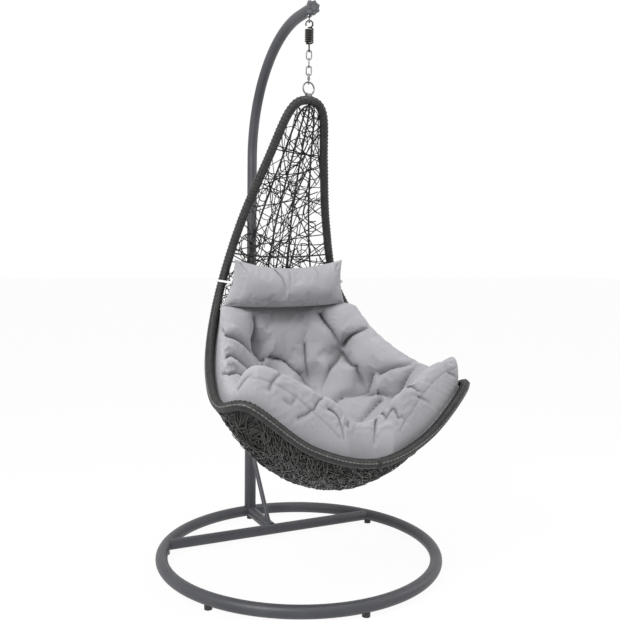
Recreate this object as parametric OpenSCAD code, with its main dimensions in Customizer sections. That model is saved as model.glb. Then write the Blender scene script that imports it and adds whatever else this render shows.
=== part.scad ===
// Hanging egg chair: ring stand with a bent arm, spring and chain, wicker basket with cushions.
// Origin at the centre of the base ring on the floor, +Z up, the seat faces -Y and the post stands at +Y.

/* [Stand] */
// Radius of the base ring, to the middle of its tube
ring_r = 485; // [450:5:540]
// Outer diameter of the base ring's tube
ring_tube_d = 42; // [38:1:46]
// Outer diameter of the cross bar
cross_bar_d = 38; // [32:1:40]
// Outer diameter of the stub between the ring and the cross bar
stub_d = 42; // [38:1:42]
// Angle round the ring at which the cross bar's ends meet it
cross_bar_angle = 30; // [24:1:36]
// Wall of every stand tube
tube_wall = 1.8; // [1.2:0.1:2.4]
// Height of the feet under the ring
foot_h = 12; // [8:1:20]
// Diameter of a foot
foot_d = 26; // [20:1:32]
// Outer diameter of the lower post
post_d = 46; // [44:1:50]
// Height of the lower post's top end
post_top_z = 980; // [850:10:1100]
// Outer diameter of the bent arm
arm_d = 38; // [34:1:39]
// Radius of the arm's bend, to the middle of its tube
arm_bend_r = 445; // [400:5:480]
// Height of the arm's level end, to the middle of its tube
arm_z = 1915; // [1850:5:2000]
// Length of arm that plugs into the lower post
arm_plug = 150; // [100:10:200]
// Distance of the hanging line ahead of the ring's centre
hang_y = 36; // [20:2:60]
// Length of arm past the hanging line
arm_over = 16; // [14:1:30]
// Diameter of the brace
brace_d = 18; // [14:1:22]
// Distance of the brace's foot behind the cross bar
brace_foot = 34; // [28:1:60]
// Height at which the brace meets the post
brace_top_z = 310; // [250:10:400]
// Diameter of the screws through the post joint
post_screw_d = 6; // [5:1:8]

/* [Arm end cap] */
// Distance from the cap's middle to its outermost lobe
cap_r = 24; // [22:1:28]
// Thickness of the lobed cap
cap_t = 16; // [12:1:20]
// Number of lobes
cap_lobes = 7; // [5:1:9]

/* [Hanger] */
// Turn of the spring and chain about the hanging line
chain_turn = -25; // [-40:5:40]
// Diameter of the eye bolt's shank
bolt_d = 8; // [6:1:10]
// Wire of the eye bolt's eye
eye_wire_d = 6; // [5:0.5:7]
// Radius of the eye, to the middle of its wire
eye_r = 8; // [7.5:0.5:10]
// Wire of the spring
spring_wire_d = 5.2; // [4:0.2:5.6]
// Radius of the spring, to the middle of its wire
spring_r = 12.9; // [11.5:0.1:15]
// Rise of one turn of the spring
spring_pitch = 6.2; // [6.1:0.1:8]
// Whole turns of the spring
spring_turns = 7; // [5:1:10]
// Radius of the spring's upper hook
hook_top_r = 12; // [11:0.5:14]
// Radius of the spring's lower hook
hook_low_r = 13.5; // [12:0.5:15]
// Wire of the chain links
link_wire_d = 4.5; // [4:0.5:5]
// Outer length of a chain link
link_l = 35.5; // [33:0.5:40]
// Outer width of a chain link
link_w = 21.5; // [20.5:0.5:26]
// Wire of the quick link
quick_wire_d = 5; // [4.5:0.5:6]
// Outer length of the quick link
quick_l = 38; // [36:0.5:48]
// Outer width of the quick link
quick_w = 23; // [22:0.5:28]
// Wire of the hanging ring
hoop_wire_d = 5.5; // [4.5:0.5:6]
// Outer diameter of the hanging ring
hoop_d = 48; // [46:1:56]

/* [Basket] */
// Turn of the basket about the hanging line
basket_turn = 5; // [-20:5:20]
// Width of the basket over its rims
basket_w = 905; // [820:5:960]
// Height from the top of the arch to the front lip
basket_drop = 1150; // [1050:10:1200]
// Reach of the rim behind the hanging line
back_reach = 188; // [150:2:220]
// Reach of the front lip ahead of the hanging line
front_reach = 438; // [400:2:450]
// Depth of the seat bowl below the front lip
bowl_sag = 130; // [80:10:170]
// Diameter of the rim with its wrapping
rim_d = 30; // [28:1:34]
// Diameter of the steel tube in the rim
rim_tube_d = 25; // [20:1:26]
// Wall of the steel tube in the rim
rim_wall = 1.2; // [1:0.1:2]
// Length of the bracket that holds the hanging ring on the rim
bracket_w = 20; // [16:1:26]
// Thickness of the woven wall
weave_t = 4; // [3:0.5:8]
// Diameter of a rib rod
rib_d = 7; // [6:0.5:10]
// Diameter of a cross rod
rod_d = 6; // [5:0.5:10]

/* [Cushions] */
// Thickness of the seat cushion in its middle, at the lower back
cushion_t = 100; // [70:5:130]
// Thickness of the seat cushion in its middle, near the front lip
cushion_front_t = 60; // [40:5:90]
// Thickness of the seat cushion at its sides and front
cushion_side_t = 110; // [80:5:140]
// How far the cushion's sides swell out over the rim, at the back
cushion_over = 170; // [100:5:180]
// How far they swell out at the front
cushion_front_over = 60; // [0:5:80]
// How high the cushion's front corners and front edge are puffed up
cushion_rise = 205; // [120:5:230]
// Depth of a sewn tuft, as a share of the cushion's thickness there
tuft_depth = 0.45; // [0.2:0.05:0.6]
// Radius of the dip round a tuft
tuft_r = 62; // [45:1:80]
// How far the head pillow's lower corners stay inside the rim tube's middle
pillow_in = 14; // [4:1:24]
// How far its upper corners reach out past the rim tube's middle
pillow_out = 11; // [0:1:14]
// Height of the head pillow
pillow_h = 164; // [140:2:180]
// Bulge of the pillow's front
pillow_front = 46; // [30:2:60]
// Bulge of the pillow's back
pillow_back = 86; // [60:2:90]
// How far the pillow's sides are drawn in between its corners
pillow_draw = 14; // [4:1:24]
// Distance of the pillow's middle below the top of the arch
pillow_down = 622; // [590:2:640]
// Forward lean of the pillow's top
pillow_lean = 10; // [0:1:16]
// Width of the elastic ties
tie_w = 7; // [5:1:12]
// Thickness of the elastic ties
tie_t = 1.6; // [1:0.1:2.5]

/* [Hidden] */

$fn = 64;
// Gap between pieces that touch or that are welded after fitting
fit = 0.3;
// Overrun of a cut past the face it goes through
over = 1;

stand_col = [0.27, 0.27, 0.30];
black_col = [0.08, 0.08, 0.08];
steel_col = [0.45, 0.45, 0.47];
wicker_col = [0.22, 0.23, 0.20];
cloth_col = [0.72, 0.72, 0.75];

// ---- Stand -----------------------------------------------------------------------------
ring_z = foot_h + ring_tube_d / 2;
cross_y = ring_r * sin(cross_bar_angle);
cross_half = ring_r * cos(cross_bar_angle);
bend_y = ring_r - arm_bend_r;
bend_z = arm_z - arm_bend_r;
bush_id = arm_d + 2 * fit;
bush_od = post_d - 2 * tube_wall - 2 * fit;
bush_lip = 4;
bush_h = 60;
screw_drop = 25;
screw_step = 45;
feet_count = 6;

module tube(d, h, wall = tube_wall) {
    difference() {
        cylinder(d = d, h = h);
        translate([0, 0, -over]) cylinder(d = d - 2 * wall, h = h + 2 * over);
    }
}

module ring_solid(extra = 0) {
    translate([0, 0, ring_z])
        rotate_extrude($fn = 128) translate([ring_r, 0]) circle(d = ring_tube_d + 2 * extra);
}

module base_ring() {
    color(stand_col)
    translate([0, 0, ring_z]) rotate_extrude($fn = 128) translate([ring_r, 0]) difference() {
        circle(d = ring_tube_d);
        circle(d = ring_tube_d - 2 * tube_wall);
    }
}

module cross_bar() {
    color(stand_col)
    difference() {
        translate([-cross_half, cross_y, ring_z]) rotate([0, 90, 0])
            tube(cross_bar_d, 2 * cross_half);
        ring_solid(fit);
    }
}

// Short tube from the ring under the post forward to the cross bar
module base_stub() {
    color(stand_col)
    difference() {
        translate([0, cross_y + cross_bar_d / 4, ring_z]) rotate([-90, 0, 0])
            tube(stub_d, ring_r - cross_y - cross_bar_d / 4);
        ring_solid(fit);
        translate([-cross_half, cross_y, ring_z]) rotate([0, 90, 0])
            cylinder(d = cross_bar_d + 2 * fit, h = 2 * cross_half);
    }
}

// Room round the cross bar and the stub for the pieces beside them
module base_bars() {
    translate([-cross_half, cross_y, ring_z]) rotate([0, 90, 0])
        cylinder(d = cross_bar_d + 2 * fit, h = 2 * cross_half);
    translate([0, cross_y, ring_z]) rotate([-90, 0, 0])
        cylinder(d = stub_d + 2 * fit, h = ring_r - cross_y);
}

module ring_feet() {
    color(black_col)
    difference() {
        for (i = [0:feet_count - 1]) rotate([0, 0, 30 + i * 360 / feet_count])
            translate([ring_r, 0, 0]) cylinder(d = foot_d, h = foot_h + ring_tube_d / 8);
        ring_solid(fit);
        base_bars();
    }
}

module lower_post() {
    color(stand_col)
    difference() {
        translate([0, ring_r, ring_z]) tube(post_d, post_top_z - ring_z);
        ring_solid(fit);
        base_bars();
        screw_holes(post_screw_d + 2 * fit);
    }
}

// Plastic sleeve that centres the arm in the mouth of the lower post
module post_bush() {
    color(black_col)
    difference() {
        union() {
            translate([0, ring_r, post_top_z - bush_h]) cylinder(d = bush_od, h = bush_h + fit);
            translate([0, ring_r, post_top_z + fit]) cylinder(d = post_d, h = bush_lip);
        }
        translate([0, ring_r, post_top_z - bush_h - over])
            cylinder(d = bush_id, h = bush_h + bush_lip + 3 * over);
        screw_holes(post_screw_d + 2 * fit);
    }
}

module arm_path(d, extra) {
    plug_z = post_top_z - arm_plug;
    translate([0, ring_r, plug_z - extra]) cylinder(d = d, h = bend_z - plug_z + extra);
    translate([0, bend_y, bend_z]) rotate([90, 0, 90])
        rotate_extrude(angle = 90, $fn = 128) translate([arm_bend_r, 0]) circle(d = d);
    translate([0, bend_y, arm_z]) rotate([90, 0, 0])
        cylinder(d = d, h = bend_y + hang_y + arm_over + extra);
}

module upper_arm() {
    color(stand_col)
    difference() {
        arm_path(arm_d, 0);
        arm_path(arm_d - 2 * tube_wall, over);
        translate([0, -hang_y, arm_z - arm_d]) cylinder(d = bolt_d + 2 * fit, h = 2 * arm_d);
        screw_holes(post_screw_d + 2 * fit);
    }
}

module screw_holes(d) {
    for (i = [0, 1])
        translate([-post_d, ring_r, post_top_z - screw_drop - i * screw_step])
            rotate([0, 90, 0]) cylinder(d = d, h = 2 * post_d);
}

// Two button-head screws with nuts, one above the other, right through the joint
module post_screws() {
    head_d = post_screw_d * 1.8;
    head_h = post_screw_d * 0.55;
    nut_h = post_screw_d * 0.8;
    color(black_col)
    for (i = [0, 1])
        translate([0, ring_r, post_top_z - screw_drop - i * screw_step]) rotate([0, 90, 0]) {
            translate([0, 0, -post_d / 2 - fit])
                cylinder(d = post_screw_d, h = post_d + 2 * fit + nut_h);
            translate([0, 0, -post_d / 2 - fit - head_h]) cylinder(d = head_d, h = head_h);
            translate([0, 0, post_d / 2 + fit]) cylinder(d = head_d, h = nut_h, $fn = 6);
        }
}

// Slim tube that leans from the base up to the front of the lower post
module brace() {
    foot_y = cross_y + brace_foot;
    rise = brace_top_z - ring_z;
    run = ring_r - foot_y;
    lean = atan2(run, rise);
    color(stand_col)
    difference() {
        translate([0, foot_y, ring_z]) rotate([-lean, 0, 0]) tube(brace_d, norm([rise, run]));
        translate([0, ring_r, 0]) cylinder(d = post_d + 2 * fit, h = 2 * brace_top_z);
        base_bars();
    }
}

module arm_end_cap() {
    lobe_d = cap_r * 0.52;
    collar_d = arm_d + 3;
    collar_t = 5;
    stem_d = arm_d - 2 * tube_wall - 2 * fit;
    stem_l = arm_over - bolt_d / 2 - 4;
    hub_d = cap_r * 0.9;
    hub_t = 2;
    color(stand_col)
    translate([0, -hang_y - arm_over - fit, arm_z]) rotate([90, 0, 0]) {
        translate([0, 0, -stem_l]) cylinder(d = stem_d, h = stem_l + over);
        cylinder(d = collar_d, h = cap_t - over);
        for (i = [0:cap_lobes - 1]) rotate([0, 0, (i + 0.5) * 360 / cap_lobes])
            translate([cap_r - lobe_d / 2, 0, collar_t]) cylinder(d = lobe_d, h = cap_t - collar_t);
        translate([0, 0, cap_t - 2 * over]) cylinder(d = hub_d, h = hub_t + over);
    }
}

// ---- Hanger ----------------------------------------------------------------------------
// Heights of the wires where each piece hangs in the next, from the arm down
washer_t = 2;
washer_d = bolt_d * 2.4;
nut_h = bolt_d * 0.9;
arm_under = arm_z - arm_d / 2;
arm_over_z = arm_z + arm_d / 2;
eye_z = arm_under - 2 * fit - washer_t - eye_wire_d / 2 - eye_r;
eye_low = eye_z - eye_r;
hook_top = eye_low + (eye_wire_d + spring_wire_d) / 2 + fit;
hook_top_c = hook_top - hook_top_r;
coil_drop = 5;
coil_top = hook_top_c - hook_top_r - coil_drop;
coil_low = coil_top - spring_turns * spring_pitch;
hook_low_c = coil_low - coil_drop - hook_low_r;
hook_low = hook_low_c - hook_low_r;
link_step = link_l - link_wire_d;
link_nest = link_wire_d + fit;
link_1_top = hook_low + (spring_wire_d + link_wire_d) / 2 + fit;
link_2_top = link_1_top - link_step + link_nest;
link_3_top = link_2_top - link_step + link_nest;
quick_top = link_3_top - link_step + (link_wire_d + quick_wire_d) / 2 + fit;
quick_low = quick_top - (quick_l - quick_wire_d);
hoop_r = (hoop_d - hoop_wire_d) / 2;
hoop_top = quick_low + (quick_wire_d + hoop_wire_d) / 2 + fit;
hoop_z = hoop_top - hoop_r;
apex_z = hoop_z - hoop_r - hoop_wire_d / 2 - 2 * fit - rim_d / 2;

module on_chain() {
    translate([0, -hang_y, 0]) rotate([0, 0, chain_turn]) children();
}

module bolt_washers() {
    color(steel_col)
    translate([0, -hang_y, 0]) difference() {
        union() {
            translate([0, 0, arm_over_z]) cylinder(d = washer_d, h = washer_t + fit);
            translate([0, 0, arm_under - fit - washer_t]) cylinder(d = washer_d, h = washer_t + fit);
        }
        translate([0, 0, eye_z]) cylinder(d = bolt_d + 2 * fit, h = 2 * arm_d);
        translate([0, -arm_d, arm_z]) rotate([-90, 0, 0])
            cylinder(d = arm_d + fit / 2, h = 2 * arm_d);
    }
}

module eye_bolt() {
    color(black_col)
    on_chain() {
        translate([0, 0, eye_z]) rotate([0, 90, 0])
            rotate_extrude() translate([eye_r, 0]) circle(d = eye_wire_d);
        translate([0, 0, eye_z + eye_r])
            cylinder(d = bolt_d, h = arm_over_z + washer_t + nut_h - eye_z - eye_r);
    }
}

// Dome nut on top of the arm
module bolt_cap_nut() {
    nut_z = arm_over_z + washer_t + 2 * fit;
    nut_d = bolt_d * 1.8;
    dome_r = bolt_d * 0.72;
    color(steel_col)
    on_chain() difference() {
        union() {
            translate([0, 0, nut_z]) cylinder(d = nut_d, h = nut_h, $fn = 6);
            translate([0, 0, nut_z + nut_h - over]) cylinder(r = dome_r, h = over);
            translate([0, 0, nut_z + nut_h]) intersection() {
                sphere(r = dome_r);
                cylinder(r = 2 * dome_r, h = 2 * dome_r);
            }
        }
        translate([0, 0, nut_z - over]) cylinder(d = bolt_d + fit, h = nut_h + over);
    }
}

// The spring is one wire: upper hook, a spiral out to the coil, the coil, a spiral in, lower hook
spring_sides = 6;
curl_rings = 8;
hook_rings = 10;
function lerp(a, b, t) = a + (b - a) * t;
function spring_line() = concat(
    [for (i = [0:hook_rings]) let (a = lerp(210, -90, i / hook_rings))
        [hook_top_r * cos(a), 0, hook_top_c + hook_top_r * sin(a)]],
    [for (i = [1:4]) let (t = i / 4, r = spring_r * sin(90 * t))
        [r * cos(180 + 180 * t), r * sin(180 + 180 * t), coil_top + coil_drop * (1 - t)]],
    [for (i = [1:spring_turns * curl_rings + 2]) let (a = i * 360 / curl_rings)
        [spring_r * cos(a), spring_r * sin(a), coil_top - spring_pitch * a / 360]],
    [for (i = [1:4]) let (t = i / 4, r = spring_r * cos(90 * t), z = coil_low - spring_pitch / 4)
        [r * cos(90 + 180 * t), r * sin(90 + 180 * t), lerp(z, hook_low_c + hook_low_r, t)]],
    [for (i = [1:hook_rings]) let (a = lerp(90, -210, i / hook_rings))
        [0, hook_low_r * cos(a), hook_low_c + hook_low_r * sin(a)]]
);

module spring() {
    color(black_col) on_chain() sweep(spring_line(), spring_wire_d / 2, spring_sides);
}

// Least gap between parts of the wire that are more than half a turn apart
spring_gap = let (p = spring_line(), n = len(p)) min([for (i = [0:n - 1]) for (j = [i + 4:1:n - 1])
    norm(p[i] - p[j])]) - spring_wire_d;
echo(spring_self_gap_mm = spring_gap);

// Round-ended link in the plane of X and Z, its top wire at height top
module link(top, length, width, wire, edge_on) {
    arc_r = (width - wire) / 2;
    leg = length - width;
    on_chain() rotate([0, 0, edge_on ? 90 : 0]) translate([0, 0, top - arc_r]) {
        rotate([90, 0, 0]) rotate_extrude(angle = 180) translate([arc_r, 0]) circle(d = wire);
        translate([0, 0, -leg]) rotate([-90, 0, 0])
            rotate_extrude(angle = 180) translate([arc_r, 0]) circle(d = wire);
        for (s = [-1, 1]) translate([s * arc_r, 0, -leg]) cylinder(d = wire, h = leg);
    }
}

module chain_link_1() { color(steel_col) link(link_1_top, link_l, link_w, link_wire_d, false); }
module chain_link_2() { color(steel_col) link(link_2_top, link_l, link_w, link_wire_d, true); }
module chain_link_3() { color(steel_col) link(link_3_top, link_l, link_w, link_wire_d, false); }
module quick_link() { color(steel_col) link(quick_top, quick_l, quick_w, quick_wire_d, true); }

// Hexagonal sleeve nut that closes the quick link, on its near leg
quick_nut_inset = 2;
module quick_link_nut() {
    arc_r = (quick_w - quick_wire_d) / 2;
    leg = quick_l - quick_w;
    nut_l = leg - 2 * quick_nut_inset;
    color(steel_col)
    on_chain() translate([0, -arc_r, quick_top - arc_r - leg + quick_nut_inset]) difference() {
        cylinder(d = quick_wire_d * 1.9, h = nut_l, $fn = 6);
        translate([0, 0, -over]) cylinder(d = quick_wire_d + fit, h = nut_l + 2 * over);
    }
}

// ---- Basket ----------------------------------------------------------------------------
// Stations from the top of the arch (0) to the middle of the front lip (10).
// Rim: share of the half width, of the reach (behind +, ahead -) and of the drop.
rim_shape = [[0, 0, 0], [0.144, 0.06, 0.032], [0.254, 0.415, 0.17], [0.395, 0.84, 0.354],
             [0.535, 1, 0.544], [0.702, 0.59, 0.692], [0.875, -0.116, 0.792],
             [1, -0.566, 0.843], [0.907, -0.854, 0.832], [0.487, -0.947, 0.951], [0, -1, 1]];
// Middle line of the woven wall: share of the reach, of the drop and of the sag
spine_shape = [[0, 0, 0], [0.08, 0.033, 0], [0.495, 0.176, 0], [0.95, 0.364, 0],
               [1.22, 0.556, 0], [1.35, 0.66, 0.4], [0.9, 0.8, 1], [-0.13, 0.98, 1],
               [-0.47, 1, 1], [-0.785, 1, 0.6], [-1, 1, 0]];
half_w = (basket_w - rim_d) / 2;
last_u = 10;

function reach(s) = s > 0 ? s * back_reach : s * front_reach;
rim_pts = [for (s = rim_shape) [s[0] * half_w, reach(s[1]), apex_z - s[2] * basket_drop]];
spine_pts = [for (s = spine_shape)
    [0, reach(s[0]), apex_z - s[1] * basket_drop - s[2] * bowl_sag]];

// Catmull-Rom curve through a list of stations, mirrored past both ends
function mirror_x(p) = [-p[0], p[1], p[2]];
function station(p, i) = i < 0 ? mirror_x(p[1]) : i > last_u ? mirror_x(p[last_u - 1]) : p[i];
function along(p, u) = let (i = min(floor(u), last_u - 1), t = u - i,
    a = station(p, i - 1), b = station(p, i), c = station(p, i + 1), d = station(p, i + 2))
    (2 * b + (c - a) * t + (2 * a - 5 * b + 4 * c - d) * t * t
        + (3 * b - a - 3 * c + d) * t * t * t) / 2;
function rim_at(u) = along(rim_pts, u);

// Woven wall: each cross line is a parabola from rim to rim through the middle line
function wall(u, v) = let (r = rim_at(u), s = along(spine_pts, u), c = cos(90 * v))
    [r[0] * sin(90 * v), lerp(r[1], s[1], c * c), lerp(r[2], s[2], c * c)];
// Direction square to the wall, pointing into the seat
function unit(v) = v / max(norm(v), 1e-6);
function inward(u, v) = let (e = 0.02, a = max(u - e, 0.05), b = min(u + e, last_u - 0.05),
    w = max(min(v, 0.98), -0.98))
    unit(cross(wall(b, w) - wall(a, w), wall(u, w + e) - wall(u, w - e)));
function wall_off(u, v, off) = wall(u, v) + off * inward(u, v);

// Value nearest b for which the test still holds, when it holds at a
function bisect(test, a, b, n = 12) = let (m = (a + b) / 2) n == 0 ? a
    : test(m) ? bisect(test, m, b, n - 1) : bisect(test, a, m, n - 1);

// Station at which the rim is a given distance to the side of the arch's top
function arch_u(x) = bisect(function (u) rim_at(u)[0] < x, 0, 1);
seam_u = arch_u(fit);
wrap_u = arch_u(bracket_w / 2 + 3 * fit);

// Rim's middle line as a chain of short straights, closer together round the arch
u_step = 0.25;
rim_us = concat([seam_u, wrap_u], [for (u = [u_step:u_step / 2:1]) u],
    [for (u = [1 + u_step:u_step:last_u]) u]);
rim_line = [for (u = rim_us) rim_at(u)];
function seg_dist(p, a, b) = let (d = b - a, t = min(max((p - a) * d / (d * d), 0), 1))
    norm(p - a - t * d);
function rim_dist(p) = let (q = [abs(p[0]), p[1], p[2]])
    min([for (i = [0:len(rim_line) - 2]) seg_dist(q, rim_line[i], rim_line[i + 1])]);
// Whether something of radius r round a point clears the rim
function clears(p, r) = rim_dist(p) > rim_d / 2 + r + fit;

module on_basket() {
    translate([0, -hang_y, 0]) rotate([0, 0, basket_turn]) children();
}

// Rings of a swept tube. The reference direction is carried along so that the tube never twists.
function heading(p, i) = unit(p[min(i + 1, len(p) - 1)] - p[max(i - 1, 0)]);
function carry(p, i, ref) = let (t = heading(p, i)) unit(ref - (ref * t) * t);
function refs(p, start) = [for (i = 0, v = carry(p, 0, start); i < len(p);
    i = i + 1, v = i < len(p) ? carry(p, i, v) : v) v];
function rings(p, r, sides, start) = let (up = refs(p, start)) [for (i = [0:len(p) - 1])
    let (t = heading(p, i), a = unit(cross(t, up[i])), b = cross(t, a))
    for (k = [0:sides - 1]) p[i] + r * (cos(k * 360 / sides) * a + sin(k * 360 / sides) * b)];

module sweep(p, r, sides, start = [0.3, 1, 0.2]) {
    last = (len(p) - 1) * sides;
    faces = concat(
        [for (i = [0:sides:last - 1]) for (k = [0:sides - 1]) let (a = i + k,
            b = i + (k + 1) % sides) each [[a, a + sides, b], [b, a + sides, b + sides]]],
        [for (k = [1:sides - 2]) [0, k, k + 1]],
        [for (k = [1:sides - 2]) [last, last + k + 1, last + k]]);
    polyhedron(rings(p, r, sides, start), faces, convexity = 10);
}

// Hollow tube swept along points, with flat ring ends
module pipe(p, r_out, r_in, sides, start) {
    m = len(p) * sides;
    last = m - sides;
    faces = concat(
        [for (i = [0:sides:last - 1]) for (k = [0:sides - 1]) let (a = i + k,
            b = i + (k + 1) % sides) each [[a, a + sides, b], [b, a + sides, b + sides],
            [m + a, m + b, m + a + sides], [m + b, m + b + sides, m + a + sides]]],
        [for (k = [0:sides - 1]) let (b = (k + 1) % sides)
            each [[k, b, m + k], [b, m + b, m + k],
                  [last + k, m + last + k, last + b], [last + b, m + last + k, m + last + b]]]);
    polyhedron(concat(rings(p, r_out, sides, start), rings(p, r_in, sides, start)), faces,
        convexity = 10);
}

// Rim line all the way round, less a number of points at its start and its end
rim_sides = 10;
rim_ref = [0, 1, 0.1];
function rim_loop(skip) = let (last = len(rim_line) - 1) concat(
    [for (i = [skip:last]) rim_line[i]], [for (i = [last - 1:-1:skip]) mirror_x(rim_line[i])]);

// Steel tube bent to the rim's line, with a butt seam under the ring bracket
module rim_frame() {
    color(black_col) on_basket()
        pipe(rim_loop(0), rim_tube_d / 2, rim_tube_d / 2 - rim_wall, rim_sides, rim_ref);
}

// Flat wicker wound round the steel tube, left open at the ring bracket
module rim_wrap() {
    color(wicker_col) on_basket()
        pipe(rim_loop(1), rim_d / 2, rim_tube_d / 2 + fit, rim_sides, rim_ref);
}

// Curved sleeve on the arch's top that the hanging ring runs through
bracket_spread = 28;
bracket_wall = 2.2;
module ring_bracket() {
    bore = hoop_wire_d / 2 + 2 * fit;
    outer = bore + bracket_wall;
    low_z = apex_z + rim_tube_d / 2 - 4;
    color(steel_col) on_basket() difference() {
        union() {
            translate([0, 0, hoop_z]) rotate([90, 90 + bracket_spread, 0])
                rotate_extrude(angle = 2 * bracket_spread) translate([hoop_r, 0]) circle(r = outer);
            translate([-bracket_w / 2, -outer, low_z])
                cube([bracket_w, 2 * outer, hoop_z - hoop_r - low_z]);
        }
        translate([0, 0, hoop_z]) rotate([90, 0, 0])
            rotate_extrude() translate([hoop_r, 0]) circle(r = bore);
        translate([-bracket_w, 0, apex_z]) rotate([0, 90, 0])
            cylinder(d = rim_tube_d + 2 * fit, h = 2 * bracket_w);
    }
}

module hanging_ring() {
    color(steel_col) on_basket() translate([0, 0, hoop_z]) rotate([90, 0, 0])
        rotate_extrude() translate([hoop_r, 0]) circle(d = hoop_wire_d);
}

// Grid that the woven wall and the seat cushion share: each row of stations runs from rim to rim,
// clear of the ties round the rim
v_count = 12;
function edge_v(u) = bisect(function (v) clears(wall(u, v), weave_t / 2 + tie_t), 0, 1);

// Faces of a slab between two grids of the same rows and columns, with its four edges
function slab_edges(rows, cols) = let (m = rows * cols, nu = rows - 1, nv = cols - 1) concat(
    [for (i = [0:nu - 1]) let (a = i * cols, b = a + nv)
        each [[a, m + a, a + cols], [a + cols, m + a, m + a + cols],
              [b, b + cols, m + b], [b + cols, m + b + cols, m + b]]],
    [for (j = [0:nv - 1]) let (b = nu * cols + j)
        each [[j, j + 1, m + j], [j + 1, m + j + 1, m + j],
              [b, m + b, b + 1], [b + 1, m + b, m + b + 1]]]);
function slab_faces(rows, cols) = let (m = rows * cols) concat(
    [for (i = [0:rows - 2]) for (j = [0:cols - 2]) let (a = i * cols + j)
        each [[a, a + cols, a + 1], [a + 1, a + cols, a + cols + 1],
              [m + a, m + a + 1, m + a + cols], [m + a + 1, m + a + cols + 1, m + a + cols]]],
    slab_edges(rows, cols));

// Open net of the back, from the arch down behind the pillow: a plain lattice of flat strands.
// Openings are two stations high and three columns wide.
net_start = 0.75;
net_top = 1;
net_end = 4.5;
net_du = 0.04;
net_dk = 0.12;
net_us = concat([net_start],
    [for (u = [net_top:2 * u_step:net_end - 3 * u_step])
        each [u + net_du, u + u_step, u + 2 * u_step - net_du]],
    [net_end - 2 * u_step + net_du, net_end - u_step, net_end - 2 * net_du, net_end]);
net_ks = concat([-v_count],
    [for (k = [-v_count:3:v_count - 3]) each [k + (k == -v_count ? 2 : 1) * net_dk, k + 1, k + 2,
        k + 3 - (k == v_count - 3 ? 2 : 1) * net_dk]], [v_count]);
function net_open(i, j) = i % 3 > 0 && j % 4 > 0;
// Faces of a slab between two grids, less its openings, whose four sides get walls
function net_faces(rows, cols) = let (m = rows * cols) concat(
    [for (i = [0:rows - 2]) for (j = [0:cols - 2]) if (!net_open(i, j)) let (a = i * cols + j)
        each [[a, a + cols, a + 1], [a + 1, a + cols, a + cols + 1],
              [m + a, m + a + 1, m + a + cols], [m + a + 1, m + a + cols + 1, m + a + cols]]],
    [for (i = [1:rows - 3]) for (j = [1:cols - 3]) if (net_open(i, j))
        let (a = i * cols + j, b = a + 1, c = b + cols, d = a + cols)
        for (e = [[a, b, -1, 0], [b, c, 0, 1], [c, d, 1, 0], [d, a, 0, -1]])
            if (!net_open(i + e[2], j + e[3]))
                each [[e[1], e[0], m + e[1]], [e[0], m + e[0], m + e[1]]]],
    slab_edges(rows, cols));
function net_grid(off) = [for (u = net_us) let (e = edge_v(u)) for (k = net_ks)
    wall_off(u, e * k / v_count, off)];

module back_net() {
    color(wicker_col) on_basket()
        polyhedron(concat(net_grid(-weave_t / 2), net_grid(weave_t / 2)),
            net_faces(len(net_us), len(net_ks)), convexity = 10);
}

// Dense woven seat bowl, from the net's lower edge down and forward to the front lip. It stands out
// in knots at every second crossing of its columns and stations.
bowl_start = net_end + 0.002;
bowl_end = 9.7;
knot_h = 6;
function knot(i, j, rows) =
    i == 0 || i == rows - 1 || abs(j) == v_count || (i + j) % 2 != 0 ? 0 : knot_h;
module bowl_weave() {
    us = concat([bowl_start], [for (u = [net_end + u_step:u_step:bowl_end - u_step / 2]) u], [bowl_end]);
    rows = len(us);
    color(wicker_col) on_basket()
        polyhedron([for (side = [-1, 1]) for (i = [0:rows - 1]) let (e = edge_v(us[i]))
            for (j = [-v_count:v_count])
                wall_off(us[i], e * j / v_count, side * weave_t / 2 - knot(i, j, rows))],
            slab_faces(rows, 2 * v_count + 1), convexity = 10);
}

// Rods on the seat side of the weave, along and between its columns: ribs run down the back and
// under the seat, and cross rods are welded in short lengths between them
rib_columns = [-7, -2, 2, 7];
rod_places = [3.5, 5.5, 7];
rod_sides = 6;
rib_end_r = rib_d / 2 - 0.8;
rib_close = rib_d / 2.5;
rib_end = 9.5;
rib_off = weave_t / 2 + rib_d / 2 + fit;
rod_off = weave_t / 2 + rod_d / 2 + fit;
function at_column(u, k, off) = let (e = edge_v(u), a = floor(k), t = k - a)
    lerp(wall_off(u, e * a / v_count, off), wall_off(u, e * (a + 1) / v_count, off), t);

module back_ribs() {
    mid = last_u / 2;
    color(black_col) on_basket() for (k = rib_columns) {
        ok = function (u) clears(at_column(u, k, rib_off), rib_end_r)
            && norm(at_column(u, k, rib_off) - at_column(u, k - sign(k), rib_off)) > rib_close;
        top = bisect(ok, mid, 0);
        low = bisect(ok, mid, rib_end);
        us = concat([top], [for (u = [0:u_step:last_u]) if (u > top + 0.05 && u < low - 0.05) u], [low]);
        sweep([for (u = us) at_column(u, k, rib_off)], rib_d / 2, rod_sides, [1, 0, 0.1]);
    }
}

// Column at which a rod's end comes just short of the rib at column k, from column a
function rib_side(u, k, a) = bisect(function (c)
    norm(at_column(u, c, rib_off) - at_column(u, k, rib_off)) > rib_d / 2 + 6 * fit, a, k);

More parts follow.
